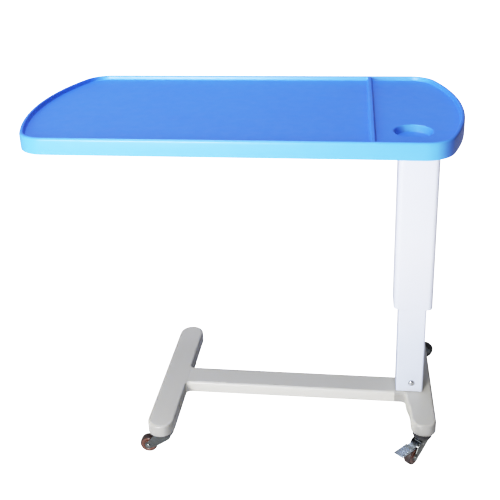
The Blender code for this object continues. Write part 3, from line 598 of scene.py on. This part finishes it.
def fill(bm, loop, points, height):
    """Triangulate inside a loop through extra points, at height(x, y)."""
    flat = [Vector((p[0], p[1])) for p in loop]
    boundary = list(range(len(flat)))
    flat += [Vector(p) for p in points]
    result = geometry.delaunay_2d_cdt(flat, [], [boundary], 1, 1e-7)
    verts = [bm.verts.new((v[0], v[1], height(v[0], v[1]))) for v in result[0]]
    for face in result[2]:
        bm.faces.new([verts[i] for i in face])


def cup_distance(x, y):
    return math.hypot(x - CUP_X, y - CUP_Y)


def fill_floor(bm, loop):
    """Tray floor with the rib and the cup recess."""
    reach = TRAY_DEPTH / 2 - RIM[-1][0] - 0.0008
    points = []
    for side in (-1, 1):
        for u, _ in RIB:
            if side < 0 and u == 0.0:
                continue
            points += [(RIB_X + side * u, -reach + 2 * reach * k / 41) for k in range(42)]
    for radius, _ in CUP[1:]:
        points += circle(CUP_X, CUP_Y, radius, 96 if radius > 0.02 else 32)
    points.append((CUP_X, CUP_Y))
    fill(bm, loop, points,
         lambda x, y: FLOOR_Z + rib_height(abs(x - RIB_X)) - cup_depth(cup_distance(x, y)))


def fill_underside(bm, loop):
    """Flat underside with the cup's boss."""
    outer, inner = CUP_RADIUS + 0.0035, CUP_RADIUS + 0.0031
    edge = (outer + inner) / 2
    points = circle(CUP_X, CUP_Y, outer, 64) + circle(CUP_X, CUP_Y, inner, 64)
    fill(bm, loop, points, lambda x, y: CUP_BOSS_Z if cup_distance(x, y) < edge else UNDERSIDE_Z)


def tray_bm():
    loops = [[(x, y, z) for x, y in tray_outline(inset)] for inset, z in SKIRT]
    for inset, height in RIM:
        loops.append([(x, y, FLOOR_Z + raised(height, rib_height(abs(x - RIB_X))))
                      for x, y in tray_outline(inset)])
    bm = loft(loops)
    fill_floor(bm, loops[-1])
    fill_underside(bm, loops[0])
    bmesh.ops.remove_doubles(bm, verts=bm.verts[:], dist=2e-6)
    return bm


piece("tray_shell", tray_bm(), BLUE, "tray_carriage", "tray_top", sharp=40)


# ------------------------------------------------------------------ column
def tube_bm(width, depth, radius, wall, bottom, top, edge):
    """Rectangular tube with eased end edges."""
    far, near = edge * 1.2, edge * 0.3
    # (inset, z) round the wall's section
    section = [
        (far, top), (near, top - near), (0.0, top - far),
        (0.0, bottom + far), (near, bottom + near), (far, bottom),
        (wall - far, bottom), (wall - near, bottom + near), (wall, bottom + far),
        (wall, top - far), (wall - near, top - near), (wall - far, top),
    ]
    return loft([[(x, y, z) for x, y in rounded_rect(COLUMN_X, width - 2 * inset,
                                                     depth - 2 * inset, radius - inset, 10)]
                 for inset, z in section], closed=True)


piece("column_sleeve", tube_bm(**SLEEVE, edge=0.0006), WHITE, "tray_carriage", "outer_sleeve",
      sharp=50)
piece("column_tube", tube_bm(**TUBE, edge=0.0004), WHITE, "base", "inner_column",
      sharp=50)

# ------------------------------------------------------------------ base covers
BEAM_FILLET, BULGE_CORNER = 0.0085, 0.0090
FLARE_Y, FLARE_LENGTH = 0.040, 0.050        # where the bulge eases back into the right foot
SHOULDER_WIDTH, SHOULDER_HEIGHT = 0.0058, 0.0050
LIP_HEIGHT = 0.0008                         # rounding of the covers' bottom edge
SEAM = 0.00008                              # each cover stops this far short of a joint


def foot_end(foot, side, steps=18):
    """Rounded end of a foot: x1 round to x0 at the back (+1), x0 to x1 at the front (-1)."""
    centre, half = (foot["x0"] + foot["x1"]) / 2, (foot["x1"] - foot["x0"]) / 2
    start_y = foot["back" if side > 0 else "front"] - side * foot["tip"]
    points = []
    for i in range(2 * steps + 1):
        angle = math.pi * i / (2 * steps)
        c, s = math.cos(angle), math.sin(angle)
        x = half * math.copysign(abs(c) ** 0.95, c)
        y = foot["tip"] * abs(s) ** 0.95
        points.append((centre + side * x, start_y + side * y))
    return points


def base_outline():
    """One closed outline round both feet and the cross beam, counter-clockwise."""
    half = BEAM_DEPTH / 2
    fillet_x, fillet_y = LEFT_FOOT["x1"] + BEAM_FILLET, half + BEAM_FILLET
    corner_x, corner_y = BULGE_X - BULGE_CORNER, half + BULGE_CORNER
    flare = [(BULGE_X + (RIGHT_FOOT["x0"] - BULGE_X) * (3 * u * u - 2 * u ** 3),
              FLARE_Y + FLARE_LENGTH * u) for u in (i / 16 for i in range(17))]
    points = foot_end(LEFT_FOOT, -1)
    points += arc(fillet_x, -fillet_y, BEAM_FILLET, 180, 90, 10)
    points += arc(corner_x, -corner_y, BULGE_CORNER, 90, 0, 10)
    points += [(x, -y) for x, y in flare]
    points += foot_end(RIGHT_FOOT, -1)
    points += foot_end(RIGHT_FOOT, 1)
    points += reversed(flare)
    points += arc(corner_x, corner_y, BULGE_CORNER, 0, -90, 10)
    points += arc(fillet_x, fillet_y, BEAM_FILLET, 270, 180, 10)
    points += foot_end(LEFT_FOOT, 1)
    # near-coincident points would upset the insets
    outline = []
    for p in points:
        if not outline or math.hypot(p[0] - outline[-1][0], p[1] - outline[-1][1]) > 0.0003:
            outline.append(p)
    return outline


def base_bm(x_min=None, x_max=None):
    """The part of the whole base cover between two planes across X."""
    bm, top, bottom = prism(base_outline(), BASE_BOTTOM + LIP_HEIGHT, BASE_TOP - SHOULDER_HEIGHT)
    inset_rings(bm, top, round_steps(SHOULDER_WIDTH, SHOULDER_HEIGHT, 8) + [(0.0006, 0.0)])
    # bottom lip, flat rim, then up into the hollow
    inset_rings(bm, bottom, [(0.0003, 0.0006), (0.0006, 0.0002), (COVER_WALL - 0.0009, 0.0),
                             (0.0002, -0.0215)])
    for x, clear_low in ((x_min, True), (x_max, False)):
        if x is None:
            continue
        result = bmesh.ops.bisect_plane(
            bm, geom=bm.verts[:] + bm.edges[:] + bm.faces[:], dist=1e-7,
            plane_co=(x, 0, 0), plane_no=(1, 0, 0),
            clear_inner=clear_low, clear_outer=not clear_low)
        cut = [e for e in result["geom_cut"] if isinstance(e, bmesh.types.BMEdge)]
        bmesh.ops.holes_fill(bm, edges=cut, sides=0)
    return bm


LEFT_SEAM_X = LEFT_FOOT["x1"]
piece("left_foot_shell", base_bm(x_max=LEFT_SEAM_X - SEAM), GREY, "base",
      "left_foot_cover", sharp=40)
piece("cross_beam_shell", base_bm(LEFT_SEAM_X + SEAM, RIGHT_SEAM_X - SEAM), GREY_BEAM_LIT, "base",
      "cross_beam_cover", sharp=40)
piece("right_foot_shell", base_bm(x_min=RIGHT_SEAM_X + SEAM), GREY, "base",
      "right_foot_cover", sharp=40)


# ------------------------------------------------------------------ cross bolt
def bolt_bm():
    """Domed bolt through the column tube, head at the front."""
    profile = [(0.0, 0.0044)]
    for degrees in range(12, 85, 12):
        angle = math.radians(degrees)
        profile.append((0.0066 * math.sin(angle), 0.0008 + 0.0036 * math.cos(angle)))
    profile += [(0.0068, 0.0008), (0.0068, 0.0), (0.0040, 0.0), (0.0040, -0.0504),
                (0.0, -0.0504)]
    bm = lay_down(lathe(profile, 40, closed=False))
    move(bm, BOLT_X, -TUBE["depth"] / 2 - 0.0002, BOLT_Z)
    return bm


piece("cross_bolt", bolt_bm(), BRIGHT, "base", "column_cross_bolt", sharp=40)


# ------------------------------------------------------------------ castors
# Caps and forks are drawn about the stem axis, with z from the floor and the wheel toward +X.
# Turned parts list (radius, height).
def cap_bm():
    bore = STEM_RADIUS + 0.0003
    return lathe([
        (bore, 0.0557), (0.0180, 0.0557), (0.0192, 0.0555), (0.0201, 0.0549), (0.0205, 0.0540),
        (0.0204, 0.0524), (0.0201, 0.0513), (0.0194, 0.0508), (bore, 0.0508),
    ], 64)


def cheek_bm(side):
    """One side plate of the fork with softened edges."""
    # (x, z), from the top at the stem, down and round the axle, and back up
    points = [(-0.0132, 0.0470), (-0.0146, 0.0452), (-0.0140, 0.0430), (-0.0105, 0.0382),
              (-0.0080, 0.0362), (0.0150, 0.0205), (0.0275, 0.0134)]
    points += arc(TRAIL, AXLE_Z, 0.0080, 222, 450, 28)
    points += [(0.0345, 0.0305), (0.0310, 0.0350), (0.0275, 0.0395), (0.0236, 0.0440),
               (0.0200, 0.0470)]
    # ease the corners twice
    for _ in range(2):
        eased = []
        for i, point in enumerate(points):
            a, b = Vector(point), Vector(points[(i + 1) % len(points)])
            cuts = (0.22, 0.78) if (b - a).length > 0.0030 else (0.5,)
            eased += [tuple(a.lerp(b, cut)) for cut in cuts]
        points = eased
    bm, top, _ = prism(points, 0.0, CHEEK_THICKNESS - 0.0006)
    inset_rings(bm, top, [(0.0002, 0.0003), (0.0003, 0.0002), (0.0003, 0.0001)])
    lay_down(bm)
    if side > 0:
        for v in bm.verts:
            v.co.y = -v.co.y
        bmesh.ops.reverse_faces(bm, faces=bm.faces[:])
    move(bm, y=side * CHEEK_Y)
    return bm


def fork_bm():
    """Turned crown, two cheeks, and a slanting web and a flat plate between them."""
    bore = STEM_RADIUS + 0.0004
    bm = lathe([
        (bore, 0.0505), (0.0168, 0.0505), (0.0176, 0.0502), (0.0180, 0.0494), (0.0181, 0.0484),
        (0.0179, 0.0474), (0.0173, 0.0463), (0.0163, 0.0453), (0.0150, 0.0446),
        (0.0134, 0.0441), (0.0120, 0.0438), (bore, 0.0438),
    ], 64)
    join(bm, cheek_bm(-1))
    join(bm, cheek_bm(1))
    half_web, half_plate = CHEEK_Y + 0.0003, CHEEK_Y + 0.0004
    web = block((0.0, 0.0267), (-half_web, half_web), (0.0, 0.0012), radius=0.0003)
    turn(web, 34.6, 'Y')
    move(web, x=-0.0100, z=0.0378)
    join(bm, web)
    join(bm, block((-0.0140, 0.0120), (-half_plate, half_plate), (0.0422, 0.0442), radius=0.0006))
    return bm


def axle_bm():
    """Pin with a domed head outside each cheek."""
    face = CHEEK_Y + CHEEK_THICKNESS + 0.0001
    half = [(0.0, 0.0136), (0.0020, 0.0135), (0.0036, 0.0131), (0.0046, 0.0124),
            (0.0050, 0.0116), (0.0050, face), (0.0030, face)]
    return lay_down(lathe(half + mirrored(half), 32, closed=False))


def hub_bm():
    face = WHEEL_WIDTH / 2
    half = [(0.0034, face + 0.0006), (0.0052, face + 0.0006), (0.0058, face + 0.0002),
            (0.0062, face - 0.0010), (0.0072, face - 0.0022), (0.0092, face - 0.0024),
            (0.0104, face - 0.0020), (0.0112, face - 0.0006), (0.0120, face - 0.0002),
            (0.0148, face - 0.0002), (0.0158, face - 0.0005), (0.0162, face - 0.0010)]
    return lay_down(lathe(half + mirrored(half), 56))


def tyre_bm():
    face = WHEEL_WIDTH / 2
    half = [(0.0163, face - 0.0011), (0.0167, face - 0.0005), (0.0174, face - 0.0004),
            (0.0180, face - 0.0011), (0.0186, face - 0.0025), (0.0189, face - 0.0044),
            (WHEEL_RADIUS, 0.0)]
    return lay_down(lathe(half + mirrored(half)[1:], 72))


# Pedal rib: (y, share of full height)
PEDAL_RIB = [(-0.0102, 0.05), (-0.0099, 0.6), (-0.0092, 0.95), (-0.0080, 1.0),
             (0.0080, 1.0), (0.0092, 0.95), (0.0099, 0.6), (0.0102, 0.05)]
RIB_RADIUS, RIB_PITCH = 0.0016, 0.0085


def pedal_rib_bm(centre):
    """Half-round rib across the tread, tapered at both ends."""
    loops = []
    for y, share in PEDAL_RIB:
        crown = [(centre + RIB_RADIUS * (0.4 + 0.6 * share) * math.cos(math.pi * i / 8), y,
                  0.0012 + RIB_RADIUS * share * math.sin(math.pi * i / 8)) for i in range(9)]
        loops.append(crown + [(centre - 0.0012, y, 0.0008), (centre + 0.0012, y, 0.0008)])
    return loft(loops, caps=True)


def pedal_bm():
    """Brake pedal about its pivot: neck, wider ribbed tread, and a pivot barrel along Y."""
    plate = (0.0000, 0.0016)
    bm = block((0.0050, 0.0300), (-0.0080, 0.0080), plate, radius=0.0004)
    join(bm, block((-0.0020, 0.0070), (-0.0078, 0.0078), plate, radius=0.0004))
    join(bm, block((0.0285, 0.0725), (-0.0112, 0.0112), plate, radius=0.0005))
    half = [(0.0019, 0.0079), (0.0026, 0.0079), (0.0029, 0.0076)]
    barrel = lay_down(lathe(half + mirrored(half), 28))
    move(barrel, z=0.0005)
    join(bm, barrel)
    for k in range(4):
        join(bm, pedal_rib_bm(0.0410 + RIB_PITCH * k))
    return bm


def castor(tag, heading, brake):
    stem_x, stem_y = plan_centre("castor_stem_" + tag)
    at_stem = (Matrix.Translation((stem_x, stem_y, 0.0))
               @ Matrix.Rotation(math.radians(heading), 4, 'Z'))
    at_axle = at_stem @ Matrix.Translation((TRAIL, 0, AXLE_Z))
    swivel, wheel = "swivel_" + tag, "wheel_" + tag
    dark = tag == "rear_right"      # painted shade: this wheel's hub and tyre take the blackened tyre look
    piece("cap_" + tag, cap_bm(), BLACK, "base", "castor_cap_" + tag,
          matrix=at_stem)
    piece("fork_" + tag, fork_bm(), ZINC, swivel, "castor_fork_" + tag,
          sharp=38, matrix=at_stem)
    piece("axle_" + tag, axle_bm(), AXLE, swivel, "castor_axle_" + tag,
          sharp=45, matrix=at_axle)
    piece("wheel_hub_" + tag, hub_bm(), TYRE_SHADED if dark else AMBER, wheel,
          "castor_hub_" + tag, sharp=45, matrix=at_axle)
    piece("wheel_tyre_" + tag, tyre_bm(), TYRE_SHADED if dark else TYRE, wheel,
          "castor_tyre_" + tag, sharp=50, matrix=at_axle)
    if brake:
        pivot = (at_stem @ Matrix.Translation((0.0130, 0, 0.0394))
                 @ Matrix.Rotation(math.radians(-8.0), 4, 'Y'))
        piece("pedal_" + tag, pedal_bm(), PEDAL, "brake_" + tag, "brake_pedal_" + tag,
              sharp=40, matrix=pivot)


for tag, (heading, brake) in CASTORS.items():
    castor(tag, heading, brake)

# ------------------------------------------------------------------ CAD nodes shown as they are
slots = {s["node"]: s["material_slot"] for s in frame["record"]["subparts"]}
for node, ob in frame["nodes"].items():
    if ob.hide_render:
        continue
    ob.data.materials.clear()
    ob.data.materials.append(LOOK[slots[node]])
    ob.data.shade_smooth()
    ob.data.set_sharp_from_angle(angle=math.radians(30))

# ------------------------------------------------------------------ stage, light, camera
BACKDROP = 4.0                      # strength of floor and world as the camera sees them


def mix_shader(tree, factor, first, second):
    node = tree.nodes.new("ShaderNodeMixShader")
    for source, socket in zip((factor, first, second), node.inputs):
        tree.links.new(source, socket)
    return node.outputs[0]


def floor_material():
    """Matt grey to the scene, glowing white to the camera, see-through from below."""
    m = Shader("stage_floor")
    m.set("Base Color", (0.86, 0.86, 0.86))
    m.set("Roughness", 0.9)
    seen = m.node("LightPath").outputs["Is Camera Ray"]
    glow = m.node("Emission")
    glow.inputs["Strength"].default_value = BACKDROP
    lit = mix_shader(m.tree, seen, m.bsdf.outputs[0], glow.outputs[0])
    below = m.math("MULTIPLY", seen, m.node("NewGeometry").outputs["Backfacing"])
    clear = m.node("BsdfTransparent").outputs[0]
    m.link(mix_shader(m.tree, below, lit, clear), m.out.inputs[0])
    return m.mat


def stage_floor():
    bm = bmesh.new()
    bmesh.ops.create_grid(bm, x_segments=1, y_segments=1, size=30.0)
    me = bpy.data.meshes.new("stage_floor")
    bm.to_mesh(me)
    bm.free()
    ob = add_object("stage_floor", me)
    me.materials.append(floor_material())


def studio_world():
    """White to the camera; to the object a soft room, brighter toward -X than toward +X."""
    world = bpy.data.worlds.new("studio")
    bpy.context.scene.world = world
    world.use_nodes = True
    tree = world.node_tree
    nodes, links = tree.nodes, tree.links
    backdrop = nodes["Background"]
    backdrop.inputs["Color"].default_value = (1.0, 1.0, 1.0, 1.0)
    backdrop.inputs["Strength"].default_value = BACKDROP
    room = nodes.new("ShaderNodeBackground")
    direction = nodes.new("ShaderNodeTexCoord")
    split = nodes.new("ShaderNodeSeparateXYZ")
    links.new(direction.outputs["Generated"], split.inputs[0])
    shade = nodes.new("ShaderNodeMapRange")
    for name, value in {"From Min": -0.9, "From Max": 0.9, "To Min": 0.55, "To Max": 0.12}.items():
        shade.inputs[name].default_value = value
    links.new(split.outputs[0], shade.inputs["Value"])
    links.new(shade.outputs["Result"], room.inputs["Strength"])
    seen = nodes.new("ShaderNodeLightPath").outputs["Is Camera Ray"]
    links.new(mix_shader(tree, seen, room.outputs[0], backdrop.outputs[0]),
              nodes["World Output"].inputs["Surface"])


def area(name, location, target, size, power, color=(1, 1, 1)):
    light = bpy.data.lights.new(name, 'AREA')
    light.shape = 'RECTANGLE'
    light.size = size
    light.size_y = size
    light.energy = power
    light.color = color
    ob = add_object(name, light)
    ob.location = location
    ob.rotation_mode = 'QUATERNION'
    ob.rotation_quaternion = (Vector(target) - Vector(location)).to_track_quat('-Z', 'Y')


def camera():
    """Looks down and toward +Y from in front of the table."""
    data = bpy.data.cameras.new("camera")
    ob = add_object("camera", data)
    # radians: yaw from +Y toward +X, pitch downward, roll about the view direction
    yaw, pitch, roll = -0.1212, 0.3498, -0.0288
    ahead = Vector((math.sin(yaw) * math.cos(pitch), math.cos(yaw) * math.cos(pitch),
                    -math.sin(pitch)))
    level = Vector((math.cos(yaw), -math.sin(yaw), 0.0))
    upright = level.cross(ahead)
    right = math.cos(roll) * level + math.sin(roll) * upright
    up = -math.sin(roll) * level + math.cos(roll) * upright
    rotation = Matrix([(right[i], up[i], -ahead[i]) for i in range(3)]).to_4x4()
    place = Matrix.Translation((0.2004 + DATUM_X, -1.4155 + DATUM_Y, 1.1802))
    ob.matrix_world = place @ rotation
    data.sensor_width = 36.0
    data.lens = 53.79
    data.shift_x = -0.0373
    data.shift_y = -0.2161
    data.clip_start = 0.02
    data.clip_end = 200.0
    bpy.context.scene.camera = ob


def view_settings():
    """Standard view with a soft shoulder, so that bright faces keep their shading."""
    view = bpy.context.scene.view_settings
    view.view_transform = 'Standard'
    view.look = 'None'
    view.exposure = 0.0
    view.gamma = 1.0
    view.use_curve_mapping = True
    mapping = view.curve_mapping
    mapping.white_level = (3.0, 3.0, 3.0)
    combined = mapping.curves[3]
    combined.points[0].location = (0.0, 0.0)
    combined.points[-1].location = (1.0, 1.0)
    # (input, output) between the ends
    for at in ((0.083, 0.25), (0.167, 0.47), (0.333, 0.75), (0.5, 0.88), (0.667, 0.95)):
        combined.points.new(*at)
    mapping.update()


stage_floor()
studio_world()
area("key_front", location=(-0.70, -2.2, 1.05), target=(0.1, 0.0, 0.5), size=0.7, power=88.0)
area("top_soft", location=(-0.45, 0.05, 2.6), target=(-0.05, 0.0, 0.7), size=1.1, power=31.0,
     color=(0.90, 0.95, 1.28))
camera()
view_settings()
